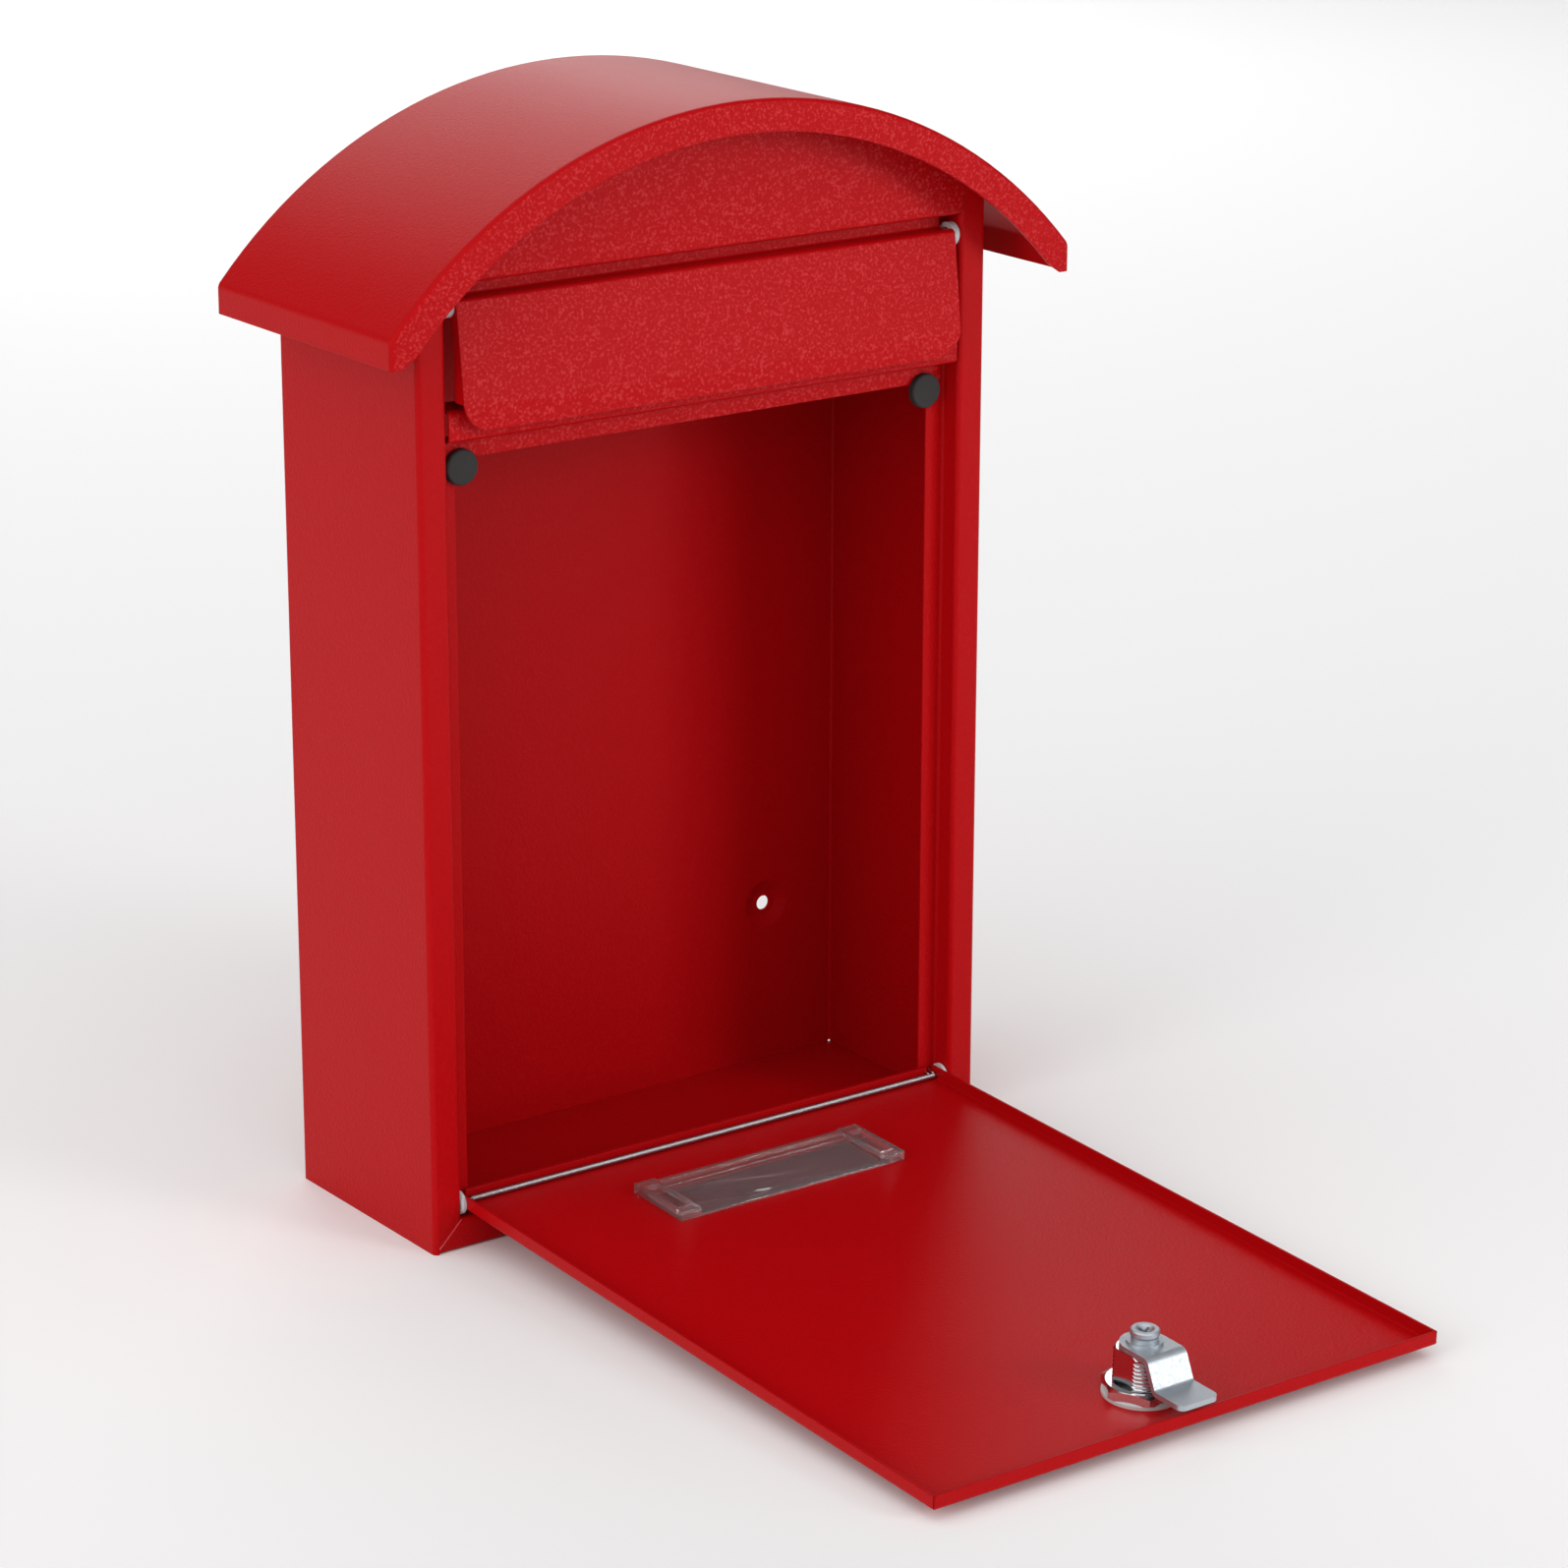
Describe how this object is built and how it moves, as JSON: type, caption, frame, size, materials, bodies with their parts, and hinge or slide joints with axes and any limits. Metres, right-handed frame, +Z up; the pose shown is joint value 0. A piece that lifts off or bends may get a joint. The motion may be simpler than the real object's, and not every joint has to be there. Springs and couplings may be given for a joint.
{
  "type": "wall mailbox",
  "caption": "Red sheet-steel wall mailbox with an arched overhanging roof, a hinged letter flap and a drop-down front door with a cam lock, shown open.",
  "frame": {"origin": "centre of the pattern of four wall holes, on the wall plane", "axes": "+X to the viewer's right, the front faces -Y, +Y into the wall, +Z up"},
  "size_m": [0.3104, 0.3953, 0.4353],
  "materials": {
    "red_paint": "fine-textured powder coat, half gloss",
    "white_nylon": "moulded, matt",
    "black_rubber": "matt",
    "spring_steel": "bright wire",
    "clear_plastic": "clear, moulded",
    "zinc_plate": "zinc plated, half gloss",
    "lock_chrome": "plated, glossy",
    "milky_plastic": "translucent, matt"
  },
  "bodies": {
    "box": {"body_shell": "red_paint", "bottom_panel": "red_paint", "gable_panel": "red_paint", "slot_rail": "red_paint", "roof": "red_paint", "flap_rod": "spring_steel", "flap_bush_left": "white_nylon", "flap_bush_right": "white_nylon", "door_bush_left": "white_nylon", "door_bush_right": "white_nylon", "bumper_left": "black_rubber", "bumper_right": "black_rubber"},
    "flap": {"letter_flap": "red_paint"},
    "front_door": {"door": "red_paint", "door_rod": "spring_steel", "door_spring": "spring_steel", "name_holder": "clear_plastic", "lock_barrel": "lock_chrome", "lock_seal": "milky_plastic", "lock_nut": "lock_chrome"},
    "lock_turning": {"lock_plug": "zinc_plate", "lock_cam": "zinc_plate", "cam_washer": "zinc_plate", "cam_spring_washer": "zinc_plate", "cam_screw": "zinc_plate"}
  },
  "joints": [
    {"name": "door_hinge", "type": "hinge", "parent": "box", "child": "front_door", "pos_m": [0, -0.0959, -0.1774], "axis": [-1, 0, 0], "range_deg": [-25, 92.05]},
    {"name": "flap_hinge", "type": "hinge", "parent": "box", "child": "flap", "pos_m": [0, -0.0962, 0.17341], "axis": [-1, 0, 0], "range_deg": [0, 90]},
    {"name": "lock_turn", "type": "hinge", "parent": "front_door", "child": "lock_turning", "pos_m": [0, -0.36373, -0.18699], "axis": [0, -0.0358, 0.9994], "range_deg": [0, 90]}
  ]
}
